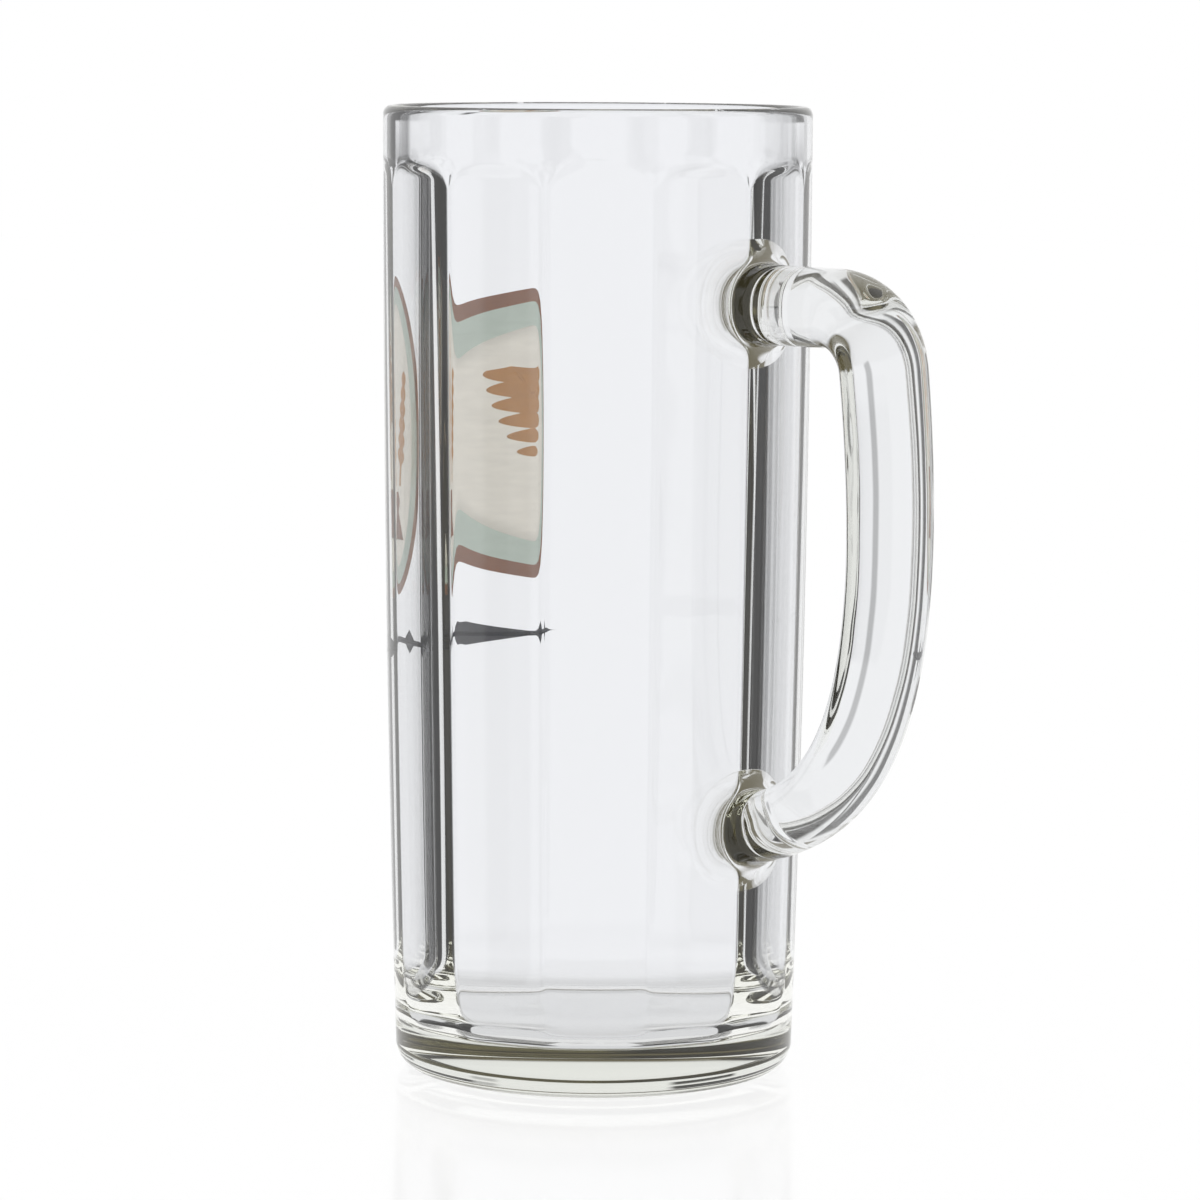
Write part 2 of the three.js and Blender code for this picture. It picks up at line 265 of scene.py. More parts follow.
# %% Columns round the body
PANELS = 12
COLUMNS_PER_PANEL = 32
EDGE_POWER = 220
FLOOR_POWER = 50

half_panel = math.pi / PANELS
step = np.arange(COLUMNS_PER_PANEL) / COLUMNS_PER_PANEL
across = np.tile(np.sin(math.pi / 2 * (2 * step - 1)), PANELS)
panel = np.repeat(np.arange(PANELS), COLUMNS_PER_PANEL)
angle = half_panel * (2 * panel + 1 + across)
flats = half_panel * (2 * np.arange(PANELS) + 1)
toward = np.clip(np.cos(angle[:, None] - flats), 0, 1)
facet = (toward ** EDGE_POWER).sum(1) ** (-1 / EDGE_POWER)
soft_facet = (toward ** FLOOR_POWER).sum(1) ** (-1 / FLOOR_POWER)

# %% Rings of the inside
RIM_WALL = 3 * MM
LIP_RISE = 1.7 * MM
PANEL_WALL = 3.5 * MM
PANEL_DRAFT = 3.1 * MM
ARCH_APEX = HEIGHT - 12.9 * MM
ARCH_SHOULDER = HEIGHT - 17.4 * MM
ARCH_SQUARENESS = 3.0
ARCH_SPAN = 0.95
LEDGE_RISE = 3.2 * MM
FLOOR = 8.5 * MM
FLOOR_MIDDLE = 0.04
SWEEP_IN = 7 * MM
SWEEP_UP = 15 * MM
ROUND_RISE = 12 * MM
FLOOR_RINGS = 14
SWEEP_RINGS = 36
PANEL_RINGS = 14
PANEL_CROWDING = 3
LEDGE_RINGS = 12
BAND_RINGS = 10
LIP_RINGS = 25


def panel_apothem(z):
    """Distance of a flat from the axis: a straight draft, drawn in to the floor along a quarter ellipse."""
    rise = np.clip((z - FLOOR) / SWEEP_UP, 0, 1)
    sweep = SWEEP_IN * (1 - np.sqrt(1 - (1 - rise) ** 2))
    return RIM_RADIUS - PANEL_WALL - PANEL_DRAFT * (1 - z / HEIGHT) - sweep


def panel_radius(z):
    """Radius of the inside along every column: flat panels whose corners round off towards the floor."""
    sharpness = ease(np.clip((z - FLOOR) / ROUND_RISE, 0, 1))
    return panel_apothem(z) * (soft_facet + (facet - soft_facet) * sharpness)


bow = (1 - np.abs(ARCH_SPAN * across) ** ARCH_SQUARENESS) ** (1 / ARCH_SQUARENESS)
arch = ARCH_SHOULDER + (ARCH_APEX - ARCH_SHOULDER) * bow
lip_base = HEIGHT - LIP_RISE
lip_middle = wall_radius(lip_base) - RIM_WALL / 2

floor_share = np.linspace(FLOOR_MIDDLE, 1, FLOOR_RINGS)[:-1, None]
sweep_turn = np.linspace(0, math.pi / 2, SWEEP_RINGS)[:, None]
panel_share = 1 - (1 - np.linspace(0, 1, PANEL_RINGS)[1:, None]) ** PANEL_CROWDING
ledge_share = np.linspace(0, 1, LEDGE_RINGS)[1:, None]
band_share = np.linspace(0, 1, BAND_RINGS)[1:-1, None]
lip_turn = np.linspace(math.pi, 0, LIP_RINGS)[:, None]

even = np.ones_like(angle)
floor_z = FLOOR * even + 0 * floor_share
sweep_z = FLOOR + SWEEP_UP * (1 - np.cos(sweep_turn)) * even
panel_z = sweep_z[-1] + (arch - sweep_z[-1]) * panel_share
ledge_z = arch + LEDGE_RISE * ledge_share
band_z = ledge_z[-1] + (lip_base - ledge_z[-1]) * band_share
lip_z = (lip_base + LIP_RISE * np.sin(lip_turn)) * even
ledge_start = panel_radius(ledge_z)
ledge_end = wall_radius(ledge_z) - RIM_WALL
inner_z = np.concatenate([floor_z, sweep_z, panel_z, ledge_z, band_z, lip_z])
inner_radius = np.concatenate(
    [
        panel_apothem(FLOOR) * floor_share * soft_facet,
        panel_radius(sweep_z),
        panel_radius(panel_z),
        ledge_start + (ledge_end - ledge_start) * ease(ledge_share),
        wall_radius(band_z) - RIM_WALL,
        (lip_middle + RIM_WALL / 2 * np.cos(lip_turn)) * even,
    ]
)

# %% Rings of the outside and the underside
FOOT_CORNER = 5 * MM
STANDING_RING = 5.5 * MM
RECESS_SLOPE = 1.5 * MM
RECESS_DEPTH = 0.8 * MM
OUTSIDE_RINGS = 140
CORNER_RINGS = 16
SLOPE_RINGS = 8
RING_PLACES = (0.04, 0.96, 1.0)
RECESS_PLACES = (0.98, 0.8, 0.5, 0.2)

corner_middle = wall_radius(FOOT_CORNER) - FOOT_CORNER
ring_inside = corner_middle - STANDING_RING
outside_z = np.linspace(lip_base, FOOT_CORNER, OUTSIDE_RINGS)[1:-1, None]
corner_turn = np.linspace(0, math.pi / 2, CORNER_RINGS)[:, None]
ring_share = np.array(RING_PLACES)[:, None]
slope_share = np.linspace(0, 1, SLOPE_RINGS)[1:, None]
recess_share = np.array(RECESS_PLACES)[:, None]
recess_edge = ring_inside - RECESS_SLOPE
outer_z = np.concatenate(
    [
        outside_z,
        FOOT_CORNER * (1 - np.sin(corner_turn)),
        0 * ring_share,
        RECESS_DEPTH * ease(slope_share),
        RECESS_DEPTH + 0 * recess_share,
    ]
)
outer_radius = np.concatenate(
    [
        wall_radius(outside_z),
        corner_middle + FOOT_CORNER * np.cos(corner_turn),
        corner_middle - STANDING_RING * ring_share,
        ring_inside - RECESS_SLOPE * slope_share,
        recess_edge * recess_share,
    ]
)

# %% The body as one closed skin
radius = np.concatenate([inner_radius, outer_radius * even])
level = np.concatenate([inner_z, outer_z * even])
body_rings = np.stack([radius * np.cos(angle), radius * np.sin(angle), level], -1)
on_wall = np.zeros(len(level), bool)
on_wall[len(inner_z) : len(inner_z) + len(outside_z)] = True
upper_weld = weld_depth(body_rings, arm_start, np.array([1, 0]), ARM_HALF_THICK, ARM_HALF_WIDE)
lower_weld = weld_depth(body_rings, root, root_axis, FOOT_HALF_THICK, FOOT_HALF_WIDE)
body_weld = np.where(on_wall[:, None], np.maximum(upper_weld, lower_weld), -1)
body = closed_skin("mug_body", body_rings, "glass_body", body_weld)

# %% [markdown]
# ## The handle
#
# Every section is the same superellipse, a little squarer than an oval, that slims from the arm to
# the lower root. Near a root the rings stop lying in planes and bend to follow the round wall. For
# that, each point of the section slides along the root's own direction until it meets the wall,
# which a few steps of correction find.

# %% Section of the bar
SECTION_POINTS = 96
MEETING_STEPS = 12
section_turn = 2 * math.pi * np.arange(SECTION_POINTS) / SECTION_POINTS


def signed_power(value, power):
    """The power of the size of a value, with the value's own sign."""
    return np.sign(value) * np.abs(value) ** power


section_v = signed_power(np.cos(section_turn), 2 / BAR_SQUARENESS)
section_w = signed_power(np.sin(section_turn), 2 / BAR_SQUARENESS)


def bar_half_sizes(place):
    """Half thickness and half width at a distance along the route, changing evenly from root to root."""
    share = np.clip(place / ROUTE_LENGTH, 0, 1)
    thick = ARM_HALF_THICK + (FOOT_HALF_THICK - ARM_HALF_THICK) * share
    wide = ARM_HALF_WIDE + (FOOT_HALF_WIDE - ARM_HALF_WIDE) * share
    return thick, wide


def on_route(place, v, w):
    """Point at v outwards and w sideways from the route at a distance along it."""
    flat = route_point(place) + route_normal(place) * v[..., None]
    return np.stack([flat[..., 0], w, flat[..., 1]], -1)


def depth_in_wall(points):
    """How far points lie inside the wall's outer surface."""
    return wall_radius(points[..., 2]) - np.hypot(points[..., 0], points[..., 1])


def meet_wall(start, outward, v, w, depth):
    """Distance from the root, along its own direction, at which (v, w) lies at a depth in the wall."""
    along = np.zeros_like(v)
    for _ in range(MEETING_STEPS):
        along = along + depth_in_wall(on_route(start + outward * along, v, w)) - depth
    return along


# %% Rings from the wall to the plain bar
SUNK_PLACES = (0.1, 0.4, 0.7, 0.9, 0.98, 1.0)
PAD_RINGS = 60
PAD_CROWDING = 1.5
BAR_RINGS = 180


def root_rings(start, outward):
    """Rings of one root, from its sunk end to the bar: outward is 1 at the upper root and -1 below."""
    thick, wide = bar_half_sizes(start)
    pad_v = (thick + PAD_SPREAD) * section_v
    pad_w = (wide + PAD_SPREAD) * section_w
    rings = []
    for share in SUNK_PLACES:
        along = meet_wall(start, outward, share * pad_v, share * pad_w, SUNK)
        rings.append(on_route(start + outward * along, share * pad_v, share * pad_w))
    wall = meet_wall(start, outward, pad_v, pad_w, 0)
    for away in PAD_ZONE * np.linspace(0, 1, PAD_RINGS) ** PAD_CROWDING:
        swell = pad_swell(away)
        along = wall * (1 - away / PAD_ZONE) + away
        place = start + outward * along
        thick, wide = bar_half_sizes(place)
        rings.append(on_route(place, (thick + swell) * section_v, (wide + swell) * section_w))
    return np.stack(rings)


upper_root = root_rings(0.0, 1)
lower_root = root_rings(ROUTE_LENGTH, -1)
bar_place = np.linspace(PAD_ZONE, ROUTE_LENGTH - PAD_ZONE, BAR_RINGS)[1:-1, None] + 0 * section_v
bar_thick, bar_wide = bar_half_sizes(bar_place)
bar_rings = on_route(bar_place, bar_thick * section_v, bar_wide * section_w)
handle_rings = np.concatenate([upper_root, bar_rings, lower_root[::-1]])
handle_weld = depth_in_wall(handle_rings) / SUNK
handle = closed_skin("mug_handle", handle_rings, "handle", handle_weld)

# %% [markdown]
# ## The print
#
# A fired print is a film of enamel on the glass, and it shows from both sides. Each colour is a
# thin plate here, laid a few hundredths of a millimetre off the wall so that the two surfaces don't
# meet. A plate is a flat drawing wrapped round the wall. The ears and the foot of the sheaf reach a
# little beyond both faces of the field, so they show from outside and through the glass.

# %% Wrap drawings round the wall
FILM_OUTER = 0.065 * MM
FILM_INNER = 0.03 * MM
RAISED = 0.01 * MM
PRINT_CENTRE = HEIGHT - 64 * MM


def wrapped(x, y, off):
    """Place of a drawing's point, x to the right and y up, off the wall and opposite the handle."""
    z = PRINT_CENTRE + y
    turn = math.pi + x / wall_radius(z)
    r = wall_radius(z) + off
    return np.stack([r * np.cos(turn), r * np.sin(turn), z], -1)


def film(name, x, y, replaces, raised=0.0):
    """Closed plate from a drawing's rings, listed from its middle: the outer face, then the inner face."""
    outer = wrapped(x, y, FILM_OUTER + raised)
    inner = wrapped(x[::-1], y[::-1], FILM_INNER - raised)
    return closed_skin(name, np.concatenate([outer, inner]), replaces)


# %% Oval medallion
OVAL_HALF_WIDTH = 18 * MM
OVAL_HALF_HEIGHT = 31 * MM
OVAL_POINTS = 192
BORDER = 1.9 * MM
BAND = 3 * MM
FIELD_INSET = BORDER + BAND
FIELD_MIDDLE = 0.05
FIELD_RINGS = 12
oval_turn = np.linspace(0, 2 * math.pi, OVAL_POINTS, endpoint=False)


def oval(inset):
    """Oval at an inset from the medallion's edge."""
    x = (OVAL_HALF_WIDTH - inset) * np.cos(oval_turn)
    y = (OVAL_HALF_HEIGHT - inset) * np.sin(oval_turn)
    return x, y


def oval_ring_film(name, inset, width, replaces):
    """Flat ring between two ovals, closed into a band that has no end."""
    edge = oval(inset)
    inner_edge = oval(inset + width)
    loop = [
        wrapped(*edge, FILM_OUTER),
        wrapped(*inner_edge, FILM_OUTER),
        wrapped(*inner_edge, FILM_INNER),
        wrapped(*edge, FILM_INNER),
    ]
    return endless_skin(name, np.stack(loop, 1), replaces)


border = oval_ring_film("medallion_border", 0.0, BORDER, "print_border")
band = oval_ring_film("medallion_band", BORDER, BAND, "print_band")
field_share = np.linspace(FIELD_MIDDLE, 1, FIELD_RINGS)[:, None]
field_x, field_y = (field_share * edge for edge in oval(FIELD_INSET))
field = film("medallion_field", field_x, field_y, "print_field")

# %% Sheaf of barley
MOTIF = OVAL_HALF_WIDTH - FIELD_INSET
EARS = 3
EAR_SPREAD = math.radians(8.4)
PIVOT_DEPTH = 3.5 * MOTIF
EAR_LENGTH = 1.37 * MOTIF
EAR_HALF_WIDTH = 0.168 * MOTIF
EAR_POINTS = 120
EAR_TAPER = 0.5
EAR_TIP = 0.04
KERNELS = 6
KERNEL_NECK = 0.45
KERNEL_POWER = 0.8
STALK_LENGTH = 0.84 * MOTIF
STALK_STEP = 0.5 * MOTIF
STALK_HALF_WIDTH = 0.046 * MOTIF
STALK_POINTS = 8
STALK_CLEARANCE = 1.6 * MM
WAIST = -0.8 * MOTIF
FOOT_LENGTH = 0.69 * MOTIF
FOOT_POINTS = 60
TIE_PLACES = (0, 0.21, 0.42, 1)
TIE_HALF_WIDTHS = (0.33, 0.4, 0.33, 0.57)
OUTLINE_MIDDLE = 0.02
OUTLINE_RINGS = 14


def outline_film(name, half_width, y, lean, replaces):
    """Upright shape with a half width for each height, leaned about the pivot, as rings."""
    side = np.concatenate([half_width, -half_width[::-1]])
    share = np.linspace(OUTLINE_MIDDLE, 1, OUTLINE_RINGS)[:, None]
    x = share * side
    up = PIVOT_DEPTH + np.concatenate([y, y[::-1]]) + 0 * share
    leaned_x = x * math.cos(lean) + up * math.sin(lean)
    leaned_y = -x * math.sin(lean) + up * math.cos(lean) - PIVOT_DEPTH
    return film(name, leaned_x, leaned_y, replaces, RAISED)


along_ear = np.linspace(0, 1, EAR_POINTS)
kernels = np.abs(np.sin(math.pi * KERNELS * along_ear)) ** KERNEL_POWER
slimming = (1 - EAR_TAPER * along_ear ** 2) * np.clip((1 - along_ear) / EAR_TIP, 0, 1)
ear_half = EAR_HALF_WIDTH * (KERNEL_NECK + (1 - KERNEL_NECK) * kernels) * slimming
stalk_foot = WAIST + STALK_CLEARANCE
ears = []
for k in range(EARS):
    place = k - (EARS - 1) / 2
    ear_base = stalk_foot + STALK_LENGTH - STALK_STEP * abs(place)
    stalk_y = np.linspace(stalk_foot, ear_base, STALK_POINTS)[:-1]
    half = np.concatenate([np.full(len(stalk_y), STALK_HALF_WIDTH), ear_half])
    up = np.concatenate([stalk_y, ear_base + EAR_LENGTH * along_ear])
    lean = EAR_SPREAD * place
    ears.append(outline_film(f"barley_ear_{k + 1}", half, up, lean, f"print_ear_{k + 1}"))

along_foot = np.linspace(0, 1, FOOT_POINTS)
foot_half = np.interp(along_foot, TIE_PLACES, TIE_HALF_WIDTHS) * MOTIF
foot_y = WAIST - FOOT_LENGTH * along_foot
sheaf_foot = outline_film("sheaf_foot", foot_half, foot_y, 0.0, "print_sheaf_foot")

# %% Beaded rule below the medallion
RULE_HALF_LENGTH = 31 * MM
RULE_HALF_HEIGHT = 0.45 * MM
RULE_Y = -OVAL_HALF_HEIGHT - 7.6 * MM
RULE_TAPER = 4 * MM
RULE_TIP = 0.02
RULE_POINTS = 400
RULE_MIDDLE = 0.02
RULE_RINGS = 6
BEADS = 5
BEAD_PITCH = 10.5 * MM
BEAD_HALF_WIDTH = 2.6 * MM
BEAD_HALF_HEIGHT = 2.3 * MM

rule_x = np.linspace(-RULE_HALF_LENGTH, RULE_HALF_LENGTH, RULE_POINTS)
bead_middles = BEAD_PITCH * (np.arange(BEADS) - (BEADS - 1) / 2)
near_bead = np.clip(1 - np.abs(rule_x[:, None] - bead_middles) / BEAD_HALF_WIDTH, 0, 1).max(1)
rule_end = np.clip((RULE_HALF_LENGTH - np.abs(rule_x)) / RULE_TAPER, RULE_TIP, 1)
rule_half = RULE_HALF_HEIGHT * rule_end + (BEAD_HALF_HEIGHT - RULE_HALF_HEIGHT) * near_bead
rule_share = np.linspace(RULE_MIDDLE, 1, RULE_RINGS)[:, None]
rule_ring_x = np.concatenate([rule_x, rule_x[::-1]]) + 0 * rule_share
rule_ring_y = RULE_Y + rule_share * np.concatenate([rule_half, -rule_half[::-1]])
rule = film("beaded_rule", rule_ring_x, rule_ring_y, "print_rule")

# %% [markdown]
# ## Glass and ink
#
# Clear soda-lime glass bends light by an index of 1.52 and takes a little blue out of it on the
# way, so thin walls look colourless and thick places look olive. Colour by absorption gives that by
# itself. A weak olive glow is painted inside the glass as emission of its own, standing in for light
# that is scattered there. It shows only where rays go a long way, as in the roots. Pressed glass is
# never quite even, so a bump of slow waves lies on the surface: strong on the handle and hardly
# there on the body.

# %% Helpers for shader nodes
WHITE = (1, 1, 1, 1)


def node(tree, kind, **settings):
    """New shader node with its settings."""
    made = tree.nodes.new(kind)
    for key, value in settings.items():
        setattr(made, key, value)
    return made


def feed(tree, socket, value):
    """Links a socket to an output, or sets it to a plain number or colour."""
    if isinstance(value, bpy.types.NodeSocket):
        tree.links.new(value, socket)
    else:
        socket.default_value = value


def feed_all(tree, made, values):
    """Feeds several inputs of a node by their names."""
    for name, value in values.items():
        feed(tree, made.inputs[name], value)


def calculate(tree, operation, *values):
    """Output of a new math node."""
    made = node(tree, "ShaderNodeMath", operation=operation)
    for socket, value in zip(made.inputs, values):
        feed(tree, socket, value)
    return made.outputs[0]


def smooth_range(tree, value, start, end, low, high):
    """Output that goes smoothly from low to high while a value goes from start to end."""
    made = node(tree, "ShaderNodeMapRange", interpolation_type="SMOOTHSTEP")
    limits = {"From Min": start, "From Max": end, "To Min": low, "To Max": high}
    feed_all(tree, made, {"Value": value, **limits})
    return made.outputs["Result"]


def mix_colour(tree, share, first, second):
    """Output that goes from the first colour to the second as a share goes from 0 to 1."""
    made = node(tree, "ShaderNodeMix", data_type="RGBA")
    feed_all(tree, made, {"Factor": share, "A": first, "B": second})
    return made.outputs["Result"]


def mix_shader(tree, share, first, second):
    """Output that goes from the first shader to the second as a share goes from 0 to 1."""
    made = node(tree, "ShaderNodeMixShader")
    for socket, value in zip(made.inputs, (share, first, second)):
        feed(tree, socket, value)
    return made.outputs[0]


def object_noise(tree, scale, detail):
    """Smooth noise in the object's own coordinates, with so many cells to the metre."""
    place = node(tree, "ShaderNodeTexCoord")
    noise = node(tree, "ShaderNodeTexNoise")
    feed_all(tree, noise, {"Vector": place.outputs["Object"], "Scale": scale, "Detail": detail})
    return noise.outputs["Fac"]


# %% Glass material
GLASS_INDEX = 1.52
TINT = (0.72, 0.73, 0.55, 1)
TINT_DENSITY = 7.0
STRAY_LIGHT = (0.8, 0.7, 0.4, 1)
STRAY_STRENGTH = 0.2
WAVES_PER_METRE = 60
WAVE_DETAIL = 1.0
BODY_WAVES = 0.01 * MM
HANDLE_WAVES = 0.3 * MM


def glass_material(name, waves):
    """Clear glass that is open at the welds, with a tint, a faint painted glow inside and a wavy surface.
    """
    material = bpy.data.materials.new(name)
    material.use_nodes = True
    tree = material.node_tree
    weld = node(tree, "ShaderNodeAttribute", attribute_name="weld")
    bump = node(tree, "ShaderNodeBump")
    height = object_noise(tree, WAVES_PER_METRE, WAVE_DETAIL)
    feed_all(tree, bump, {"Strength": 1.0, "Distance": waves, "Height": height})
    shader = tree.nodes["Principled BSDF"]
    clear = {"Base Color": WHITE, "Roughness": 0.0, "IOR": GLASS_INDEX, "Transmission Weight": 1.0}
    feed_all(tree, shader, clear)
    feed(tree, shader.inputs["Alpha"], calculate(tree, "LESS_THAN", weld.outputs["Fac"], 0.0))
    feed(tree, shader.inputs["Normal"], bump.outputs["Normal"])
    absorption = node(tree, "ShaderNodeVolumeAbsorption")
    feed_all(tree, absorption, {"Color": TINT, "Density": TINT_DENSITY})
    # Painted glow: the glass gives off a weak olive light of its own, which lights the long ways through
    # the roots.
    stray = node(tree, "ShaderNodeEmission")
    feed_all(tree, stray, {"Color": STRAY_LIGHT, "Strength": STRAY_STRENGTH})
    inside = node(tree, "ShaderNodeAddShader")
    feed(tree, inside.inputs[0], absorption.outputs["Volume"])
    feed(tree, inside.inputs[1], stray.outputs["Emission"])
    feed(tree, tree.nodes["Material Output"].inputs["Volume"], inside.outputs["Shader"])
    return material


body.data.materials.append(glass_material("clear_glass", BODY_WAVES))
handle.data.materials.append(glass_material("clear_glass_handle", HANDLE_WAVES))

# %% Ink materials
INK_ROUGHNESS = 0.35
METAL_SHARE = 0.3
MOTTLES_PER_METRE = 900
MOTTLE_DETAIL = 2.0
MOTTLE_DARK = 0.86
MOTTLE_LIGHT = 1.08


def ink_material(name, colour, metallic=0.0):
    """Fired enamel with a fine mottle."""
    material = bpy.data.materials.new(name)
    material.use_nodes = True
    tree = material.node_tree
    dark = (*[MOTTLE_DARK * c for c in colour], 1)
    light = (*[min(MOTTLE_LIGHT * c, 1) for c in colour], 1)
    mottle = mix_colour(tree, object_noise(tree, MOTTLES_PER_METRE, MOTTLE_DETAIL), dark, light)
    enamel = {"Base Color": mottle, "Roughness": INK_ROUGHNESS, "Metallic": metallic}
    feed_all(tree, tree.nodes["Principled BSDF"], enamel)
    return material


def srgb(red, green, blue):
    """Linear colour of a colour given as it shows on a screen, from 0 to 255."""
    shown = np.array([red, green, blue]) / 255
    return tuple(np.where(shown > 0.04045, ((shown + 0.055) / 1.055) ** 2.4, shown / 12.92))


copper = ink_material("copper_ink", srgb(145, 95, 65), METAL_SHARE)
grey_green = ink_material("grey_green_ink", srgb(178, 190, 182))
cream = ink_material("cream_ink", srgb(222, 218, 210))
gold = ink_material("gold_ink", srgb(196, 140, 74), METAL_SHARE)
navy = ink_material("navy_ink", srgb(28, 32, 48))
for piece, material in (
    (border, copper),
    (band, grey_green),
    (field, cream),
    (sheaf_foot, copper),
    (rule, navy),
    *[(ear, gold) for ear in ears],
):
    piece.data.materials.append(material)

# %% [markdown]
# ## Floor and light
#
# The floor is pale, with a faint gloss that mirrors the foot. Light that comes out of the glass
# goes through it to the studio below, and is a little weaker close to the mug, where the mug's own
# shade lies.
#
# Glass shows what stands round it. In the studio a white field stands behind the mug and dark
# screens stand beside that field, so the panels are bright and their edges are drawn in dark lines.
# The world below is that studio for light that has passed through glass. All other light meets
# plain white.
#
# The direction in which light leaves the glass isn't all that counts. The strips beside the panels
# are filled with light that the wall has mirrored inside itself, and there the photo is dark. So
# each number of mirrorings has its rule. Light mirrored once is dark to both sides of the view if
# it goes down. Light mirrored twice is dark if it has also passed both walls. Light mirrored three
# times is dark to the two sides. Light mirrored more often is dark to the left of the view, and
# everywhere if its way was long, which leaves the inner edge of the handle's bar bright. After a
# very long way all light is dark. Dark places are olive where light has crossed a weld or comes
# from overhead.
#
# The screens come again every quarter turn and the two dark sides every half turn. The other rules
# hold for the photo's view, and the mug looks much alike from elsewhere.

# %% Pale floor with a faint gloss
FLOOR_HALF = 3.0
FLOOR_SIGNS = ((-1, -1), (1, -1), (1, 1), (-1, 1))
SHADE_START = 38 * MM
SHADE_END = 62 * MM
SHADE_LIGHT = 0.8
MATT_SHARE = 0.12
GLOSS_SHARE = 0.12
GLOSS_ROUGHNESS = 0.12

floor_mesh = bpy.data.meshes.new("floor")
floor_points = [(FLOOR_HALF * a, FLOOR_HALF * b, 0) for a, b in FLOOR_SIGNS]
floor_mesh.from_pydata(floor_points, [], [(0, 1, 2, 3)])
floor = bpy.data.objects.new("floor", floor_mesh)
bpy.context.scene.collection.objects.link(floor)

floor_material = bpy.data.materials.new("pale_floor")
floor_material.use_nodes = True
tree = floor_material.node_tree
tree.nodes.remove(tree.nodes["Principled BSDF"])
pale = node(tree, "ShaderNodeEmission")
matt = node(tree, "ShaderNodeBsdfDiffuse")
feed(tree, matt.inputs["Color"], WHITE)
gloss = node(tree, "ShaderNodeBsdfGlossy")
feed_all(tree, gloss, {"Color": WHITE, "Roughness": GLOSS_ROUGHNESS})
plain = mix_shader(tree, MATT_SHARE, pale.outputs[0], matt.outputs[0])
polished = mix_shader(tree, GLOSS_SHARE, plain, gloss.outputs[0])
floor_place = node(tree, "ShaderNodeTexCoord")
from_axis = node(tree, "ShaderNodeVectorMath", operation="LENGTH")
feed(tree, from_axis.inputs[0], floor_place.outputs["Object"])
shaded = smooth_range(tree, from_axis.outputs["Value"], SHADE_START, SHADE_END, SHADE_LIGHT, 1)
clear = node(tree, "ShaderNodeBsdfTransparent")
feed(tree, clear.inputs["Color"], shaded)
floor_path = node(tree, "ShaderNodeLightPath")
seen = mix_shader(tree, floor_path.outputs["Is Transmission Ray"], polished, clear.outputs[0])
feed(tree, tree.nodes["Material Output"].inputs["Surface"], seen)
floor_mesh.materials.append(floor_material)

# %% Directions and ways of light in the studio
VIEW_AZIMUTH = math.radians(44.5)
QUARTER = math.pi / 2
EDGE_SOFTNESS = math.radians(1.5)

world = bpy.data.worlds.new("studio")
bpy.context.scene.world = world
world.use_nodes = True
tree = world.node_tree
direction = node(tree, "ShaderNodeTexCoord")
parts = node(tree, "ShaderNodeSeparateXYZ")
path = node(tree, "ShaderNodeLightPath")
feed(tree, parts.inputs[0], direction.outputs["Generated"])
rise = parts.outputs["Z"]
azimuth = calculate(tree, "ARCTAN2", parts.outputs["Y"], parts.outputs["X"])
ahead = calculate(tree, "SUBTRACT", VIEW_AZIMUTH + QUARTER, azimuth)


def product(a, b):
    """Output of the product of two values."""
    return calculate(tree, "MULTIPLY", a, b)


def rest_of(value):
    """Output of one minus a value."""
    return calculate(tree, "SUBTRACT", 1, value)


def largest(first, *others):
    """Output of the largest of some values."""
    for other in others:
        first = calculate(tree, "MAXIMUM", first, other)
    return first


def off_view(half_period):
    """Angle off the photo's view, positive to the right, that starts again after each period."""
    return calculate(tree, "WRAP", ahead, half_period, -half_period)


def strip(place, middle, half):
    """1 in a strip of the studio and 0 beside it, with soft edges."""
    off = calculate(tree, "ABSOLUTE", calculate(tree, "SUBTRACT", place, middle))
    return smooth_range(tree, off, half - EDGE_SOFTNESS, half + EDGE_SOFTNESS, 1, 0)


quarter_turn = off_view(QUARTER / 2)
half_turn = off_view(QUARTER)
full_turn = off_view(2 * QUARTER)
ray_depth = path.outputs["Ray Depth"]
mirrorings = path.outputs["Glossy Depth"]

# %% White field, dark screens and dark ceiling
SCREEN_MIDDLE = math.radians(-25)
SCREEN_HALF = math.radians(9)
SCREEN_RISE_MIDDLE = -0.15
SCREEN_RISE_HALF = 0.27
GAP_MIDDLE = math.radians(24)
GAP_HALF = math.radians(3.5)
GAP_SHADE = 0.45
CEILING_START = 0.45
CEILING_END = 0.58

dark_screen = strip(quarter_turn, SCREEN_MIDDLE, SCREEN_HALF)
grey_screen = product(strip(quarter_turn, GAP_MIDDLE, GAP_HALF), GAP_SHADE)
screens = calculate(tree, "ADD", dark_screen, grey_screen)
standing = strip(rise, SCREEN_RISE_MIDDLE, SCREEN_RISE_HALF)
below_ceiling = smooth_range(tree, rise, CEILING_START, CEILING_END, 1, 0)
open_light = product(rest_of(product(screens, standing)), below_ceiling)

# %% Rules for light that the glass has mirrored inside itself
BESIDE_MIDDLE = math.radians(45)
BESIDE_HALF = math.radians(18)
BESIDE_FADE = -0.04
BESIDE_TOP = -0.015
RIGHT_MIDDLE = math.radians(49.5)
RIGHT_HALF = math.radians(13.5)
LEFT_MIDDLE = math.radians(-55.5)
LEFT_HALF = math.radians(7.5)
LEFTWARD_MIDDLE = math.radians(-40)
LEFTWARD_HALF = math.radians(60)
HALF_COUNT = 0.5
MANY_MIRRORINGS = 3.5
BOTH_WALLS_DEPTH = 6
LONG_WAY_DEPTH = 8.5
DEEP_START = 8
DEEP_END = 10.5
TRAPPED_SHADE = 0.98


def mirrored(times):
    """1 for light that the glass has mirrored just so many times, and else 0."""
    return calculate(tree, "COMPARE", mirrorings, times, HALF_COUNT)


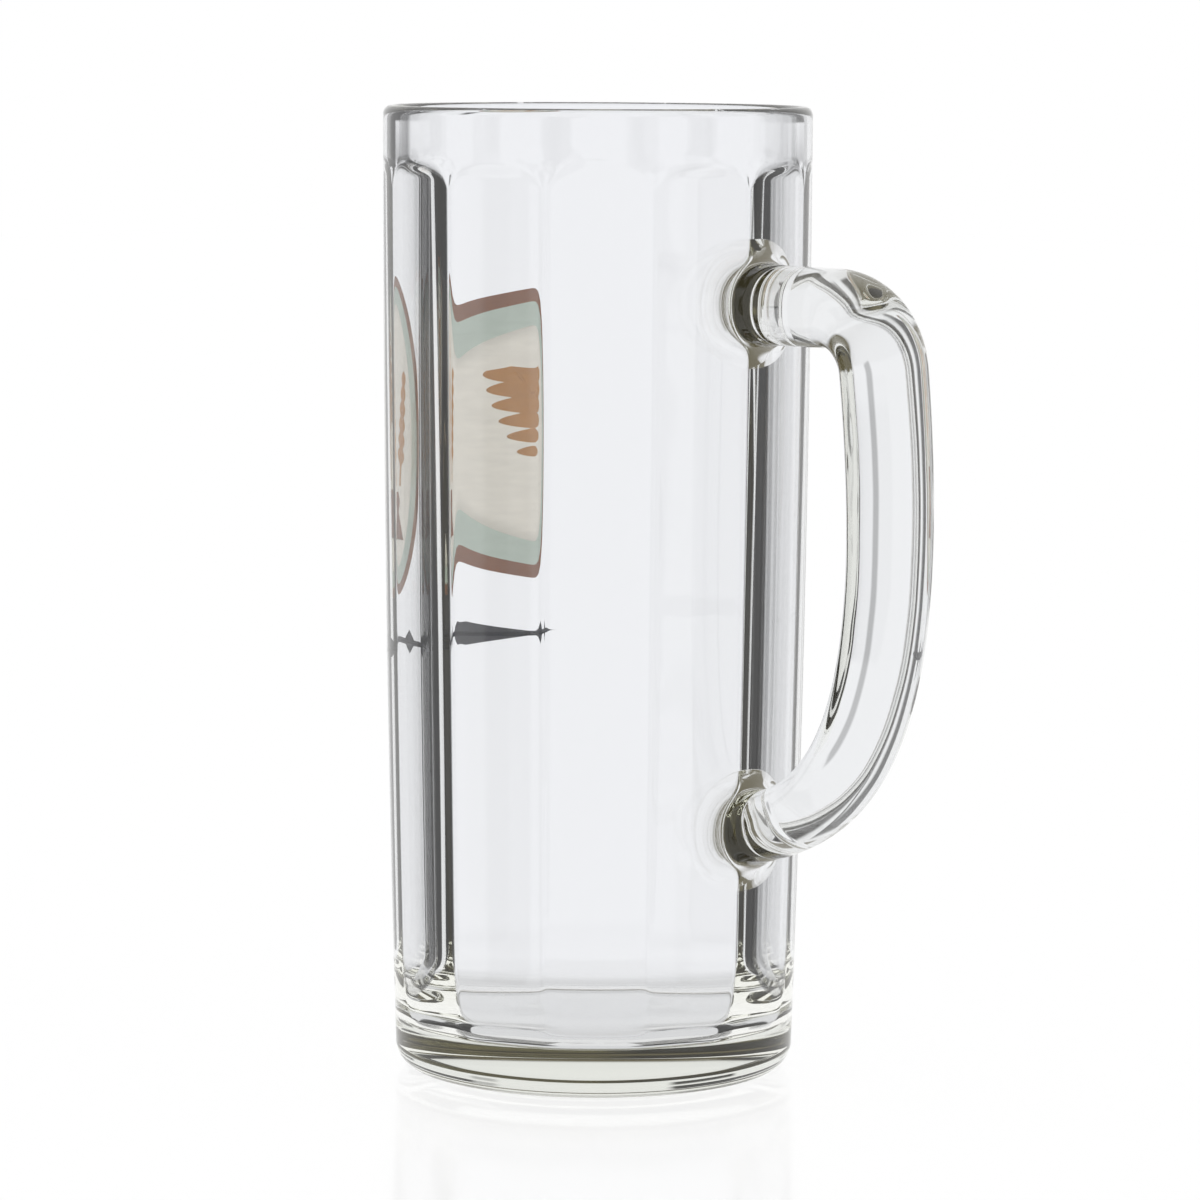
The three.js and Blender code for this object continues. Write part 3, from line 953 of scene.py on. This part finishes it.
flanks = strip(calculate(tree, "ABSOLUTE", full_turn), BESIDE_MIDDLE, BESIDE_HALF)
below_rim = smooth_range(tree, rise, BESIDE_FADE, BESIDE_TOP, 1, 0)
once = product(mirrored(1), product(flanks, below_rim))
both_walls = calculate(tree, "GREATER_THAN", ray_depth, BOTH_WALLS_DEPTH)
twice = product(mirrored(2), both_walls)
right_side = strip(half_turn, RIGHT_MIDDLE, RIGHT_HALF)
left_side = strip(half_turn, LEFT_MIDDLE, LEFT_HALF)
thrice = product(mirrored(3), calculate(tree, "ADD", right_side, left_side))
leftward = calculate(tree, "COMPARE", full_turn, LEFTWARD_MIDDLE, LEFTWARD_HALF)
long_way = calculate(tree, "GREATER_THAN", ray_depth, LONG_WAY_DEPTH)
many = calculate(tree, "GREATER_THAN", mirrorings, MANY_MIRRORINGS)
often = product(many, largest(leftward, long_way))
deep = smooth_range(tree, ray_depth, DEEP_START, DEEP_END, 0, 1)
trapped = product(largest(once, twice, thrice, often, deep), TRAPPED_SHADE)

# %% Colour of the studio
FIELD_WHITE = (0.88, 0.89, 0.925, 1)
DARK_NEUTRAL = (0.012, 0.012, 0.014, 1)
DARK_OLIVE = (0.12, 0.105, 0.06, 1)
WELD_START = 1
WELD_END = 2

in_glass = calculate(tree, "GREATER_THAN", path.outputs["Transmission Depth"], HALF_COUNT)
from_ink = calculate(tree, "GREATER_THAN", path.outputs["Diffuse Depth"], HALF_COUNT)
welds = smooth_range(tree, path.outputs["Transparent Depth"], WELD_START, WELD_END, 0, 1)
dark = mix_colour(tree, largest(welds, rest_of(below_ceiling)), DARK_NEUTRAL, DARK_OLIVE)
lit = mix_colour(tree, product(open_light, rest_of(trapped)), dark, FIELD_WHITE)
shown = mix_colour(tree, product(in_glass, rest_of(from_ink)), WHITE, lit)
feed(tree, tree.nodes["Background"].inputs["Color"], shown)

# %% [markdown]
# ## Camera
#
# The photograph was taken with a long lens, a little above the rim, with the handle to the right.
# Light needs many bounces to find its way out of thick glass.

# %% Camera and picture settings
EYE_DISTANCE = 1.0
EYE_HEIGHT = 197.6 * MM
AIM_HEIGHT = 88.4 * MM
LENS = 160.5
ROLL = math.radians(0.28)
SHIFT = 0.0036
BOUNCES = 32
GLOSSY_BOUNCES = 16

camera_data = bpy.data.cameras.new("camera")
camera_data.lens = LENS
camera_data.shift_x = SHIFT
camera = bpy.data.objects.new("camera", camera_data)
bpy.context.scene.collection.objects.link(camera)
eye_x = EYE_DISTANCE * math.sin(VIEW_AZIMUTH)
eye_y = -EYE_DISTANCE * math.cos(VIEW_AZIMUTH)
eye = Vector((eye_x, eye_y, EYE_HEIGHT))
look = Vector((0, 0, AIM_HEIGHT)) - eye
aim = look.to_track_quat("-Z", "Y").to_matrix().to_4x4() @ Matrix.Rotation(ROLL, 4, "Z")
camera.matrix_world = Matrix.Translation(eye) @ aim
scene = bpy.context.scene
scene.camera = camera
scene.view_settings.view_transform = "Standard"
scene.cycles.blur_glossy = 0.0
scene.cycles.max_bounces = BOUNCES
scene.cycles.transmission_bounces = BOUNCES
scene.cycles.glossy_bounces = GLOSSY_BOUNCES
scene.cycles.transparent_max_bounces = BOUNCES
